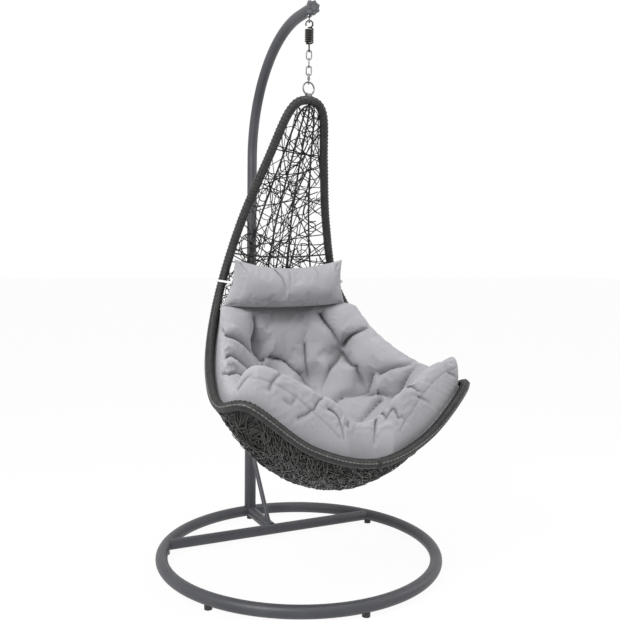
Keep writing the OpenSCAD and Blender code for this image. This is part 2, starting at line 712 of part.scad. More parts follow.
module cross_rods() {
    color(black_col) on_basket() for (u = rod_places) {
        e = bisect(function (k) clears(at_column(u, k, rod_off), rod_d / 2), 0, v_count);
        stops = concat([-e], rib_columns, [e]);
        for (i = [0:len(stops) - 2]) {
            mid = (stops[i] + stops[i + 1]) / 2;
            a = i == 0 ? -e : rib_side(u, stops[i], mid);
            b = i == len(stops) - 2 ? e : rib_side(u, stops[i + 1], mid);
            ks = concat([a], [for (k = [-v_count:v_count]) if (k > a + 0.2 && k < b - 0.2) k], [b]);
            sweep([for (k = ks) at_column(u, k, rod_off)], rod_d / 2, rod_sides, [0, 1, 1]);
        }
    }
}

// ---- Cushions --------------------------------------------------------------------------
// Sewn tufts, as wall positions
tufts = [[5.3, -0.3], [5.7, -0.12], [5.5, 0.46], [5.9, 0.2], [6.25, 0.47], [6.4, -0.45], [6.65, 0.55],
         [7.1, 0.1], [7.3, -0.4], [7.7, 0.4], [8.2, 0], [8.6, 0.4], [8.6, -0.4]];
cushion_us = concat([4.42], [for (u = [4.5:u_step:9.5]) u]);
cushion_v = 12;
cushion_edge = 6;
seat_gap = weave_t / 2 + 2 * fit + rib_d;
function dip(p) = max([for (t = tufts) exp(-pow(norm(p - wall(t[0], t[1])) / tuft_r, 2) * 1.6)]);
function edge_fall(a, b) = sqrt(max(1 - pow(abs(a), 6), 0) * max(1 - pow(abs(b), 6), 0));
// Thickness before tufts: it goes to that of the sides towards them and the front edge
function full(a, b) = lerp(lerp(cushion_t, cushion_front_t, (b + 1) / 2), cushion_side_t,
    1 - (1 - pow(a, 4)) * (1 - pow(max(b, 0), 6)));
// Direction from the wall out past the rim, on the side of share a
function outward(u, a) = unit(wall(u, sign(a)) - wall(u, 0.75 * sign(a)));
// Both are none in the middle and at the very edge: how far the top hangs out over the rim at its
// sides, and how high it is puffed up along its sides and front, from the middle row forward
function hang(a, b) = lerp(cushion_over, cushion_front_over, (b + 1) / 2) * pow(abs(a), 5)
    * sqrt((1 - pow(abs(a), 12)) * (1 - pow(b, 8)));
function puff(a, b) = let (s = min(max(b, 0) / 0.8, 1)) cushion_rise * s * s * (3 - 2 * s)
    * (1 - (1 - pow(abs(a), 3)) * (1 - pow(s == 0 ? 0 : b, 6)))
    * sqrt((1 - pow(abs(a), 12)) * (1 - pow(b, 16)));
function cushion_high(u, a, b) = wall_off(u, edge_v(u) * a, seat_gap + cushion_edge
    + edge_fall(a, b) * (full(a, b) - cushion_edge) * (1 - tuft_depth * dip(wall(u, edge_v(u) * a))))
    + hang(a, b) * outward(u, a) + [0, 0, puff(a, b)];

module seat_cushion() {
    last = len(cushion_us) - 1;
    high = [for (i = [0:last]) for (j = [-cushion_v:cushion_v])
        cushion_high(cushion_us[i], j / cushion_v, 2 * i / last - 1)];
    low = [for (u = cushion_us) let (e = edge_v(u)) for (j = [-cushion_v:cushion_v])
        wall_off(u, e * j / cushion_v, seat_gap)];
    color(cloth_col) on_basket() polyhedron(concat(low, high),
        slab_faces(last + 1, 2 * cushion_v + 1), convexity = 10);
}

// Head pillow: a front and a back bulge that meet at the edge seam, its sides drawn in between
// the corners. Its back rests on the net.
pillow_cols = 12;
pillow_rows = 8;
pillow_edge = 3;
pillow_z = apex_z - pillow_down;
pillow_u = bisect(function (u) wall(u, 0)[2] > pillow_z, 1, last_u / 2);
pillow_slack = 7.4;
pillow_y = wall(pillow_u, 0)[1] - weave_t / 2 - pillow_slack - pillow_back / cos(pillow_lean);
function rim_half(z) = rim_at(bisect(function (u) rim_at(u)[2] > z, 1, last_u / 2))[0];
pillow_low = rim_half(pillow_z - pillow_h / 2) - pillow_in;
pillow_top = rim_half(pillow_z + pillow_h / 2) + pillow_out;
function pillow_half(b) = lerp(pillow_low, pillow_top, (b + 1) / 2) - pillow_draw * (1 - b * b);
function pillow_pt(a, b, bulge) = let (
    c = pow(max(1 - pow(abs(a), bulge > 0 ? 2 : 4), 0), 0.6) * pow(max(1 - b * b, 0), 0.5),
    y = sign(bulge) * pillow_edge + (bulge - sign(bulge) * pillow_edge) * c,
    z = b * (pillow_h - pillow_draw * (1 - a * a)) / 2)
    [0, pillow_y, pillow_z] + [a * pillow_half(b), y * cos(pillow_lean) - z * sin(pillow_lean),
        y * sin(pillow_lean) + z * cos(pillow_lean)];
function pillow_face(bulge) = [for (i = [0:pillow_cols]) for (j = [0:pillow_rows])
    pillow_pt(2 * i / pillow_cols - 1, 2 * j / pillow_rows - 1, bulge)];

module head_pillow() {
    color(cloth_col) on_basket()
        polyhedron(concat(pillow_face(pillow_back), pillow_face(-pillow_front)),
            slab_faces(pillow_cols + 1, pillow_rows + 1), convexity = 10);
}

// Elastic loop that runs from the pillow's side seam round the rim
tie_end_r = 3;
tie_slack = 1.5;
tie_i = [for (i = [0:len(rim_line) - 2]) if (rim_line[i][2] > pillow_z) i];
module tie(side) {
    above = rim_line[tie_i[len(tie_i) - 1]];
    below = rim_line[len(tie_i)];
    c = lerp(above, below, (above[2] - pillow_z) / (above[2] - below[2]));
    t = unit(below - above);
    lean = acos(t[2]);
    turn = atan2(t[1], t[0]);
    seam = [pillow_half(0) + tie_end_r + tie_t + tie_slack, pillow_y, pillow_z] - c;
    flat = [seam * [cos(turn) * cos(lean), sin(turn) * cos(lean), -sin(lean)],
            seam * [-sin(turn), cos(turn), 0]];
    on_basket() mirror([side < 0 ? 1 : 0, 0, 0]) translate(c) rotate([0, lean, turn])
        translate([0, 0, -tie_w / 2]) linear_extrude(tie_w) difference() {
            tie_outline(flat, tie_t);
            tie_outline(flat, 0);
        }
}
module tie_outline(flat, extra) {
    hull() {
        circle(r = rim_d / 2 + 2 * fit + extra, $fn = 32);
        translate(flat) circle(r = tie_end_r + extra, $fn = 16);
    }
}
module tie_left() { color("white") tie(-1); }
module tie_right() { color("white") tie(1); }

base_ring();
cross_bar();
base_stub();
ring_feet();
lower_post();
post_bush();
upper_arm();
post_screws();
brace();
arm_end_cap();
bolt_washers();
eye_bolt();
bolt_cap_nut();
spring();
chain_link_1();
chain_link_2();
chain_link_3();
quick_link();
quick_link_nut();
hanging_ring();
ring_bracket();
rim_frame();
rim_wrap();
back_ribs();
cross_rods();
back_net();
bowl_weave();
seat_cushion();
head_pillow();
tie_left();
tie_right();
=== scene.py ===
"""Looks of a hanging egg chair: a woven basket with a tufted seat cushion and a head pillow,
hung by a spring and a chain from a bent steel arm on a ring foot. All lengths are metres."""

import bpy
import numpy as np
from mathutils import Matrix


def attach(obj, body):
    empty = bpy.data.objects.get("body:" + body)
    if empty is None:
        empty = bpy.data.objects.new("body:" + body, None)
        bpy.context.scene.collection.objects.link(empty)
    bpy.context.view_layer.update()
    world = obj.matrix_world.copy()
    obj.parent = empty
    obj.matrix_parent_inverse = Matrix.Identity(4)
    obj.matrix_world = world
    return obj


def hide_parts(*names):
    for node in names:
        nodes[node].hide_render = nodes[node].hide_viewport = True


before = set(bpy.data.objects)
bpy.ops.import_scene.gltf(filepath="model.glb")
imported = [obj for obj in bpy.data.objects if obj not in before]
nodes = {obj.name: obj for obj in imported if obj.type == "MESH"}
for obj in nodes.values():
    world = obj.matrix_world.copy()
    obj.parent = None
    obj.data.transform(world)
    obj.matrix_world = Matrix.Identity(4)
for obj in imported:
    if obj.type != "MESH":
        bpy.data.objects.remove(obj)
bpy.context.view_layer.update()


# ---- Camera, lamps and floor ---------------------------------------------------------------
def aim_camera():
    """The camera stands at the chair's front left at seat height; its axes are right, up, back."""
    right, up, back = (0.90195, -0.4317, 0.01144), (0.02055, 0.06935, 0.99738), (-0.43136, -0.89935, 0.07142)
    place = (-1.1639, -2.4934, 1.0949)
    cam = bpy.data.objects.new("camera", bpy.data.cameras.new("camera"))
    cam.data.sensor_width, cam.data.lens = 36, 45.68
    columns = [*zip(right, up, back, place)]
    cam.matrix_world = Matrix([*columns, (0, 0, 0, 1)])
    bpy.context.scene.collection.objects.link(cam)
    bpy.context.scene.camera = cam


aim_camera()
bpy.context.scene.view_settings.view_transform = "Standard"


def lamp(name, place, aim, size, watts):
    """Square soft lamp at a place, turned to face a point."""
    data = bpy.data.lights.new(name, "AREA")
    data.energy, data.size = watts, size
    ob = bpy.data.objects.new(name, data)
    away = np.subtract(place, aim) / np.linalg.norm(np.subtract(place, aim))
    side = np.cross((0, 0, 1), away)
    side /= np.linalg.norm(side)
    ob.matrix_world = Matrix([*np.column_stack([side, np.cross(away, side), away, place]), (0, 0, 0, 1)])
    bpy.context.scene.collection.objects.link(ob)


lamp("key_lamp", (-2.6, -1.6, 3.2), (0, 0, 0.8), 1.3, 105)
lamp("top_lamp", (0.6, -0.6, 4.0), (0, 0, 0.8), 2.4, 45)
lamp("side_lamp", (3.0, -1.2, 1.8), (0, 0, 0.9), 1.6, 18)


def white_to_camera(tree, shader, strength):
    """Mixes a shader with plain white light for what the camera and gloss see."""
    path = tree.nodes.new("ShaderNodeLightPath")
    seen = tree.nodes.new("ShaderNodeMath")
    seen.operation = "MAXIMUM"
    tree.links.new(path.outputs["Is Camera Ray"], seen.inputs[0])
    tree.links.new(path.outputs["Is Glossy Ray"], seen.inputs[1])
    glow = tree.nodes.new("ShaderNodeEmission" if shader.type != "BACKGROUND" else "ShaderNodeBackground")
    glow.inputs["Color"].default_value = (1, 1, 1, 1)
    glow.inputs["Strength"].default_value = strength
    mix = tree.nodes.new("ShaderNodeMixShader")
    tree.links.new(seen.outputs[0], mix.inputs[0])
    tree.links.new(shader.outputs[0], mix.inputs[1])
    tree.links.new(glow.outputs[0], mix.inputs[2])
    return mix


def light_world():
    """Even pale light all round, white where the camera sees it."""
    world = bpy.data.worlds.new("studio")
    bpy.context.scene.world = world
    world.use_nodes = True
    tree = world.node_tree
    base = tree.nodes["Background"]
    base.inputs["Color"].default_value = (1, 1, 1, 1)
    base.inputs["Strength"].default_value = 0.5
    mix = white_to_camera(tree, base, 1.0)
    tree.links.new(mix.outputs[0], tree.nodes["World Output"].inputs["Surface"])


light_world()


# ---- Materials -----------------------------------------------------------------------------
class Finish:
    """A material with its node tree, its shader and Object coordinates."""

    def __init__(self, name, colour, rough, metal=0.0, **sockets):
        self.mat = bpy.data.materials.new(name)
        self.mat.use_nodes = True
        self.tree = self.mat.node_tree
        self.shader = self.tree.nodes["Principled BSDF"]
        self.shader.inputs["Base Color"].default_value = (*colour, 1)
        self.shader.inputs["Roughness"].default_value = rough
        self.shader.inputs["Metallic"].default_value = metal
        for key, value in sockets.items():
            self.shader.inputs[key.replace("_", " ")].default_value = value
        self.coords = self.node("ShaderNodeTexCoord").outputs["Object"]
        self.height = None

    def node(self, kind, **values):
        """New node; plain keys set its attributes, and keys with a leading capital its sockets."""
        made = self.tree.nodes.new(kind)
        for key, value in values.items():
            if key[0].isupper():
                made.inputs[key.replace("_", " ")].default_value = value
            else:
                setattr(made, key, value)
        return made

    def link(self, out, into):
        self.tree.links.new(out, into)

    def noise(self, scale, detail=3.0, stretch=None, coords=None):
        """Cloudy pattern in metres; stretch squeezes it along some axes."""
        tex = self.node("ShaderNodeTexNoise", Scale=scale, Detail=detail)
        source = coords or self.coords
        if stretch:
            mapping = self.node("ShaderNodeMapping", Scale=stretch)
            self.link(source, mapping.inputs["Vector"])
            source = mapping.outputs[0]
        self.link(source, tex.inputs["Vector"])
        return tex.outputs["Fac"]

    def ramp(self, factor, *stops):
        """Colour ramp with (place, grey or colour) stops."""
        ramp = self.node("ShaderNodeValToRGB")
        for i, (place, colour) in enumerate(stops):
            stop = ramp.color_ramp.elements[i] if i < 2 else ramp.color_ramp.elements.new(place)
            stop.position = place
            stop.color = (*(colour if isinstance(colour, tuple) else (colour,) * 3), 1)
        self.link(factor, ramp.inputs["Fac"])
        return ramp.outputs["Color"]

    def colour(self, out):
        self.link(out, self.shader.inputs["Base Color"])

    def roughness(self, out, low, high):
        span = self.node("ShaderNodeMapRange")
        span.inputs["To Min"].default_value = low
        span.inputs["To Max"].default_value = high
        self.link(out, span.inputs["Value"])
        self.link(span.outputs[0], self.shader.inputs["Roughness"])

    def bump(self, out, strength, depth):
        """Adds relief of a given depth in metres to what relief there is."""
        bump = self.node("ShaderNodeBump", Strength=strength, Distance=depth)
        self.link(out, bump.inputs["Height"])
        if self.height:
            self.link(self.height, bump.inputs["Normal"])
        self.height = bump.outputs["Normal"]
        self.link(self.height, self.shader.inputs["Normal"])

    def waves(self, axis, per_metre, coords=None):
        """Even waves along one axis, that many to the metre."""
        split = self.node("ShaderNodeSeparateXYZ")
        self.link(coords or self.coords, split.inputs[0])
        turn = self.node("ShaderNodeMath", operation="MULTIPLY")
        turn.inputs[1].default_value = per_metre * 2 * np.pi
        self.link(split.outputs[axis], turn.inputs[0])
        sine = self.node("ShaderNodeMath", operation="SINE")
        self.link(turn.outputs[0], sine.inputs[0])
        return sine.outputs[0]

    def mixed(self, kind, a, b, factor=1.0):
        mix = self.node("ShaderNodeMixRGB", blend_type=kind, Fac=factor)
        self.link(a, mix.inputs["Color1"])
        self.link(b, mix.inputs["Color2"])
        return mix.outputs[0]


def stand_paint():
    """Matt blue-grey powder coat with a fine pebbled skin and faint dust."""
    f = Finish("stand_paint", (0.062, 0.063, 0.074), 0.5, Coat_Weight=0.12, Coat_Roughness=0.35)
    cloud = f.noise(9, 4)
    f.colour(f.ramp(cloud, (0.3, (0.038, 0.039, 0.047)), (0.7, (0.056, 0.057, 0.067))))
    f.roughness(f.noise(60, 4), 0.42, 0.58)
    f.bump(f.noise(900, 2), 0.16, 0.0003)
    f.bump(f.noise(160, 3), 0.1, 0.0004)
    return f.mat


def plastic(name, colour, rough):
    """Moulded plastic with a slightly mottled, satin skin."""
    f = Finish(name, colour, rough)
    shade = tuple(c * 1.35 for c in colour)
    f.colour(f.ramp(f.noise(35, 3), (0.3, colour), (0.75, shade)))
    f.roughness(f.noise(120, 3), rough - 0.07, rough + 0.1)
    f.bump(f.noise(1400, 2), 0.12, 0.0002)
    return f.mat


def zinc():
    """Bright zinc plating, cloudy and a little scuffed."""
    f = Finish("zinc", (0.2, 0.205, 0.215), 0.32, 1.0)
    f.colour(f.ramp(f.noise(240, 4), (0.3, (0.12, 0.122, 0.13)), (0.7, (0.27, 0.275, 0.285))))
    f.roughness(f.noise(500, 4), 0.22, 0.45)
    f.bump(f.noise(1500, 3), 0.12, 0.0002)
    return f.mat


def spring_steel():
    """Dark oiled steel with slight golden-brown painted highlights in random patches."""
    f = Finish("black_steel", (0.06, 0.055, 0.05), 0.3, 0.85)
    f.colour(f.ramp(f.noise(300, 5), (0.5, (0.02, 0.02, 0.02)), (0.78, (0.1, 0.075, 0.045))))
    f.roughness(f.noise(420, 4), 0.2, 0.5)
    f.bump(f.noise(1700, 3), 0.15, 0.0002)
    return f.mat


def wicker(name, dark, light, gloss):
    """Extruded plastic wicker, mostly olive-black, with a soft shine and a tone that varies at random."""
    f = Finish(name, dark, gloss, Coat_Weight=0.08, Coat_Roughness=0.25, Specular_IOR_Level=0.36)
    f.colour(f.ramp(f.noise(55, 5), (0.3, dark), (0.78, light)))
    f.roughness(f.noise(220, 4), gloss - 0.08, gloss + 0.14)
    f.bump(f.noise(1300, 3), 0.22, 0.0004)
    return f.mat


def cloth():
    """Pale grey-lilac woven polyester: fine weave, soft sheen, faint shade differences, and painted shade that
    darkens it in its folds and seams.
    """
    f = Finish("cushion_cloth", (0.43, 0.43, 0.46), 0.88, Sheen_Weight=0.25, Sheen_Roughness=0.5)
    f.shader.inputs["Specular IOR Level"].default_value = 0.25
    pale = f.ramp(f.noise(7, 4), (0.3, (0.365, 0.365, 0.39)), (0.7, (0.415, 0.415, 0.438)))
    thread = f.ramp(f.noise(1500, 2), (0.3, 0.9), (0.7, 1.0))
    # Painted shade: the colour is darkened to as little as 0.3 of itself deep in the folds and seams, where the
    # attribute read here marks them.
    painted_fold_shade = f.node("ShaderNodeAttribute", attribute_name="painted_fold_shade")
    shade = f.ramp(painted_fold_shade.outputs["Fac"], (0, 1.0), (1, 0.3))
    f.colour(f.mixed("MULTIPLY", f.mixed("MULTIPLY", pale, thread), shade))
    weave = f.mixed("MULTIPLY", f.waves(0, 620), f.waves(2, 620))
    f.bump(weave, 0.25, 0.0002)
    f.bump(f.noise(420, 4), 0.25, 0.0005)
    f.bump(f.noise(45, 4), 0.25, 0.003)
    return f.mat


def elastic():
    """White elastic with fine ribs."""
    f = Finish("white_elastic", (0.78, 0.78, 0.77), 0.75, Sheen_Weight=0.2)
    f.colour(f.ramp(f.noise(300, 3), (0.3, 0.7), (0.7, 0.82)))
    f.bump(f.waves(2, 900), 0.3, 0.0003)
    return f.mat


PAINT = stand_paint()
BLACK = plastic("black_plastic", (0.018, 0.018, 0.019), 0.45)
GREY = plastic("grey_plastic", (0.075, 0.077, 0.085), 0.5)
ZINC = zinc()
STEEL = spring_steel()
WRAP = wicker("rim_wicker", (0.009, 0.01, 0.009), (0.03, 0.032, 0.029), 0.4)
# The first rim lace is coloured pale as a painted highlight: a light dashed line along the rim where it passes over
# the windings.
PAINTED_HIGHLIGHT_LACE = wicker("lace_wicker_painted_highlight", (0.09, 0.091, 0.087), (0.2, 0.2, 0.19), 0.35)
STRAND = wicker("net_wicker", (0.004, 0.004, 0.004), (0.018, 0.019, 0.016), 0.34)
NEST = wicker("bowl_wicker", (0.004, 0.004, 0.003), (0.03, 0.031, 0.026), 0.22)
# Inner layer of the bowl: dark wicker, darkened further as painted shade, so that the gaps between the outer strands
# read as shadow.
INNER_AND_GAP_SHADE = wicker("inner_wicker_and_gap_shade", (0.004, 0.004, 0.003), (0.01, 0.01, 0.009), 0.5)
CLOTH = cloth()
ELASTIC = elastic()


def paint_node(node, finish):
    ob = nodes[node]
    ob.data.materials.clear()
    ob.data.materials.append(finish)


for name in ("base_ring", "cross_bar", "base_stub", "lower_post", "upper_arm", "brace"):
    paint_node(name, PAINT)
for name in ("ring_feet", "post_bush"):
    paint_node(name, BLACK)
paint_node("arm_end_cap", GREY)
for name in ("post_screws", "bolt_washers", "eye_bolt", "bolt_cap_nut", "chain_link_1", "chain_link_2",
             "chain_link_3", "quick_link", "quick_link_nut", "hanging_ring", "ring_bracket"):
    paint_node(name, ZINC)
paint_node("spring", STEEL)
paint_node("rim_frame", BLACK)
paint_node("bowl_weave", INNER_AND_GAP_SHADE)


# ---- Mesh helpers --------------------------------------------------------------------------
def unit(v):
    """Vectors scaled to length one."""
    return v / np.maximum(np.linalg.norm(v, axis=-1, keepdims=True), 1e-9)


def from_faces(name, flat, quads, ends, body, finish):
    """Smooth mesh of quads and of end faces of any size, turned so that its volume is positive."""
    a, b, c, d = (flat[quads[:, k]] for k in range(4))
    if np.sum(a * np.cross(b, c)) + np.sum(a * np.cross(c, d)) < 0:
        quads, ends = quads[:, ::-1], ends[:, ::-1]
    mesh = bpy.data.meshes.new(name)
    mesh.vertices.add(len(flat))
    mesh.vertices.foreach_set("co", flat.astype(np.float32).ravel())
    mesh.loops.add(quads.size + ends.size)
    mesh.loops.foreach_set("vertex_index", np.concatenate([quads.ravel(), ends.ravel()]).astype(np.int32))
    mesh.polygons.add(len(quads) + len(ends))
    starts = np.concatenate([np.arange(len(quads)) * 4, quads.size + np.arange(len(ends)) * ends.shape[1]])
    mesh.polygons.foreach_set("loop_start", starts.astype(np.int32))
    mesh.update(calc_edges=True)
    mesh.validate()
    mesh.shade_smooth()
    ob = bpy.data.objects.new(name, mesh)
    bpy.context.scene.collection.objects.link(ob)
    mesh.materials.append(finish)
    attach(ob, body)
    return ob


def piece(name, points, body, finish):
    """Mesh of grids (batch, rows, columns, 3). Columns close into rings, and the first and last
    ring get a face each, as in a rod."""
    count, rows, cols = points.shape[:3]
    index = np.arange(count * rows * cols).reshape(count, rows, cols)
    there = np.roll(index, -1, 2)
    quads = np.stack([index[:, :-1], there[:, :-1], there[:, 1:], index[:, 1:]], -1).reshape(-1, 4)
    ends = np.concatenate([index[:, 0, ::-1], index[:, -1]])
    return from_faces(name, points.reshape(-1, 3), quads, ends, body, finish)


def pad(name, top, under, body, finish):
    """Closed mesh of a top and an under grid (rows, columns, 3), joined by strips at the edge."""
    rows, cols = top.shape[:2]
    index = np.arange(2 * rows * cols).reshape(2, rows, cols)
    up, low = index

    def cells(g):
        return np.stack([g[:-1, :-1], g[:-1, 1:], g[1:, 1:], g[1:, :-1]], -1).reshape(-1, 4)

    def strip(a, b):
        return np.stack([a[:-1], b[:-1], b[1:], a[1:]], -1)

    quads = np.concatenate([cells(up), cells(low)[:, ::-1], strip(up[0], low[0]), strip(low[-1], up[-1]),
                            strip(low[:, 0], up[:, 0]), strip(up[:, -1], low[:, -1])])
    flat = np.concatenate([top.reshape(-1, 3), under.reshape(-1, 3)])
    return from_faces(name, flat, quads, np.zeros((0, 4), int), body, finish)


def rod(path, up, wide, thick, sides):
    """Rings of an oval section along paths (batch, points, 3). The section's thin side faces up;
    wide and thick are its half sizes, numbers or arrays of (batch, points)."""
    ahead = unit(np.gradient(path, axis=1))
    normal = unit(up - np.sum(up * ahead, -1, keepdims=True) * ahead)
    across = np.cross(ahead, normal)
    turn = 2 * np.pi * np.arange(sides) / sides
    grow = np.ones(path.shape[:2])
    wide, thick = (np.asarray(s * grow)[..., None, None] for s in (wide, thick))
    return (path[:, :, None] + wide * np.cos(turn)[:, None] * across[:, :, None]
            + thick * np.sin(turn)[:, None] * normal[:, :, None])


# ---- Basket shape, as in the solids --------------------------------------------------------
HANG_Y, TURN = -0.036, np.radians(5)
APEX_Z, DROP, HALF_W, BACK, FRONT, SAG = 1.6144, 1.15, 0.4375, 0.188, 0.438, 0.13
RIM_R = 0.015


def stations(width, reach, drop, sag):
    """Stations from the arch's top to the lip, from shares of the basket's width, reach and drop."""
    reach = np.array(reach)
    y = np.where(reach > 0, reach * BACK, reach * FRONT)
    z = APEX_Z - np.array(drop) * DROP - np.array(sag) * SAG
    return np.column_stack([np.array(width) * HALF_W, y, z])


RIM = stations([0, 0.144, 0.254, 0.395, 0.535, 0.702, 0.875, 1, 0.907, 0.487, 0],
               [0, 0.06, 0.415, 0.84, 1, 0.59, -0.116, -0.566, -0.854, -0.947, -1],
               [0, 0.032, 0.17, 0.354, 0.544, 0.692, 0.792, 0.843, 0.832, 0.951, 1], [0] * 11)
SPINE = stations([0] * 11, [0, 0.08, 0.495, 0.95, 1.22, 1.35, 0.9, -0.13, -0.47, -0.785, -1],
                 [0, 0.033, 0.176, 0.364, 0.556, 0.66, 0.8, 0.98, 1, 1, 1],
                 [0, 0, 0, 0, 0, 0.4, 1, 1, 1, 0.6, 0])


def along(points, u):
    """Catmull-Rom curve through the stations, mirrored past both ends."""
    u = np.clip(u, -0.99, 10.99)
    side = np.array([-1, 1, 1])
    line = np.vstack([points[2] * side, points[1] * side, points, points[-2] * side, points[-3] * side])
    i = np.clip(np.floor(u).astype(int), -1, 10)
    t = (u - i)[..., None]
    a, b, c, d = (line[i + k + 1] for k in range(4))
    return (2 * b + (c - a) * t + (2 * a - 5 * b + 4 * c - d) * t ** 2 + (3 * b - a - 3 * c + d) * t ** 3) / 2


def wall(u, v):
    """Woven wall at station u and share v of the way from the middle to the rim: the width goes
    with a sine, and the depth and height with a squared cosine between rim and middle line."""
    u, v = np.broadcast_arrays(np.asarray(u, float), np.asarray(v, float))
    rim, mid = along(RIM, u), along(SPINE, u)
    c = np.cos(v * np.pi / 2)[..., None] ** 2
    out = rim + (mid - rim) * c
    out[..., 0] = rim[..., 0] * np.sin(v * np.pi / 2)
    return out


def inward(u, v):
    """Direction square to the wall, into the seat."""
    u, v = np.broadcast_arrays(np.asarray(u, float), np.clip(v, -0.98, 0.98))
    low, high = np.maximum(u - 0.02, 0.05), np.minimum(u + 0.02, 9.95)
    return unit(np.cross(wall(high, v) - wall(low, v), wall(u, v + 0.02) - wall(u, v - 0.02)))


def hung(points):
    """From the basket's own axes to the chair's: turned about the hang line."""
    x, y, z = np.moveaxis(points, -1, 0)
    return np.stack([x * np.cos(TURN) - y * np.sin(TURN), x * np.sin(TURN) + y * np.cos(TURN) + HANG_Y, z], -1)


def turned(directions):
    """Directions in the basket's axes, turned as hung() turns points."""
    return hung(directions) - (0, HANG_Y, 0)


# ---- Rim: wicker wound round a steel tube, with laced strands along it ----------------------
def rim_path(spacing):
    """Closed line of the rim at even spacing from the arch's left side down, round and up the
    right, with its outward direction (away from the wall) and the direction into the seat."""
    u = np.linspace(0.115, 10, 4000)
    dense = along(RIM, u)
    length = np.concatenate([[0], np.cumsum(np.linalg.norm(np.diff(dense, axis=0), axis=1))])
    count = int(length[-1] / spacing)
    even = np.interp(np.linspace(0, length[-1], count), length, u)
    side = np.array([-1, 1, 1])
    line = along(RIM, even)
    out = unit(line - wall(even, 0.8))
    ahead = unit(np.gradient(line, axis=0))
    out = unit(out - np.sum(out * ahead, -1, keepdims=True) * ahead)
    seat = unit(np.cross(ahead, out))
    seat = seat * np.sign(np.sum(seat * inward(even, 0.9), -1, keepdims=True))
    both = [np.concatenate([part * side, part[-2::-1]]) for part in (line, out, seat)]
    return both


def ring_grid(path, out, seat, radius):
    """Ring of points round each path point; radius is (points, columns)."""
    turn = 2 * np.pi * np.arange(radius.shape[1]) / radius.shape[1]
    away = np.cos(turn)[:, None] * out[:, None] + np.sin(turn)[:, None] * seat[:, None]
    return path[:, None] + radius[..., None] * away


def rim_windings():
    """Each winding is a low arch, 4.4 mm wide, and leans a little along the rim."""
    pitch, per_turn, cols = 0.0044, 3, 22
    path, out, seat = rim_path(pitch / per_turn)
    row = np.arange(len(path))[:, None]
    lean = np.arange(cols)[None] / cols
    arch = np.abs(np.sin(np.pi * (row / per_turn + lean)))
    radius = RIM_R - 0.0014 + 0.0014 * arch ** 0.6
    grid = hung(ring_grid(path, out, seat, radius))
    ob = piece("rim_windings", grid[None], "basket", WRAP)
    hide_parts("rim_wrap")


def rim_laces():
    """Flat strands along the rim that pass over two windings and under the third."""
    path, out, seat = rim_path(0.0022)
    step = np.arange(len(path))
    for number, degrees in enumerate((-32, 28, 68, 108)):
        angle = np.radians(degrees)
        away = np.cos(angle) * out + np.sin(angle) * seat
        over = np.clip(1.5 * np.sin(2 * np.pi * step / 6 + number), -1, 1)[:, None]
        line = path + away * (RIM_R - 0.0002 + 0.001 * over)
        grid = rod(hung(line)[None], turned(away)[None], 0.0019, 0.0008, 6)
        # The first lace's pale colour is a painted highlight line; the other laces are in the rim's own dark wicker.
        piece(f"rim_lace_{number + 1}", grid, "basket", PAINTED_HIGHLIGHT_LACE if number == 0 else WRAP)


rim_windings()
rim_laces()


# ---- Net, bowl and rods --------------------------------------------------------------------
U_FINE = np.linspace(0, 10, 401)
SPINE_LENGTH = np.concatenate([[0], np.cumsum(np.linalg.norm(np.diff(wall(U_FINE, 0.5), axis=0), axis=1))])
ACROSS = np.linalg.norm(np.diff(wall(U_FINE[:, None], np.linspace(0, 1, 41)), axis=1), axis=2).sum(1)


def strand_lines(rng, count, u_range, reach, radius, steps):
    """Arcs laid at random on the flattened wall, then bent onto it. Each starts at a random place
    and heading, curves with a random radius, and is cut off where it meets the rim."""
    s_low, s_high = np.interp(u_range, U_FINE, SPINE_LENGTH)
    s = rng.uniform(s_low, s_high, count * 4)
    half = np.interp(s, SPINE_LENGTH, ACROSS)
    kept = np.flatnonzero(rng.uniform(0, ACROSS.max(), len(s)) < half)[:count]
    s, half = s[kept, None], half[kept, None]
    x = half * rng.uniform(-0.97, 0.97, s.shape)
    heading = rng.uniform(0, np.pi, s.shape)
    bend = rng.choice([-1, 1], s.shape) / rng.uniform(*radius, s.shape)
    extent = rng.uniform(*reach, s.shape) / 2

    def place(t):
        ps = s + (np.sin(heading + bend * t) - np.sin(heading)) / bend
        px = x + (np.cos(heading) - np.cos(heading + bend * t)) / bend
        u = np.interp(ps, SPINE_LENGTH, U_FINE)
        share = px / np.maximum(np.interp(ps, SPINE_LENGTH, ACROSS), 1e-4)
        return ps, u, share

    walk = np.linspace(0, 1, 60)[None] * extent
    limits = []
    for way in (-1, 1):
        ps, _, share = place(way * walk)
        fine = (np.abs(share) < 0.985) & (ps > s_low) & (ps < s_high)
        held = np.logical_and.accumulate(fine, axis=1).sum(1)
        limits.append(way * extent[:, 0] * np.maximum(held - 1, 0) / 59)
    span = limits[1] - limits[0]
    t = limits[0][:, None] + span[:, None] * np.linspace(0, 1, steps)
    _, u, share = place(t)
    v = np.arcsin(np.clip(share, -0.99, 0.99)) * 2 / np.pi
    enough = span > 0.03
    return u[enough], v[enough]


def strand_piece(name, rng, u, v, level, sway, wide, thick, finish=STRAND):
    """Flat strands that rise and fall round their level as they cross each other."""
    steps = np.linspace(0, 1, u.shape[1])[None]
    phase, turns = rng.uniform(0, 6.28, (len(u), 1)), rng.uniform(1.5, 4, (len(u), 1))
    off = rng.uniform(*level, (len(u), 1)) + sway * np.sin(phase + 2 * np.pi * turns * steps)
    normal = inward(u, v)
    path = wall(u, v) + off[..., None] * normal
    size = rng.uniform(0.8, 1.2, (len(u), 1)) * np.ones(u.shape)
    return piece(name, rod(hung(path), turned(normal), wide * size, thick * size, 6), "basket", finish)


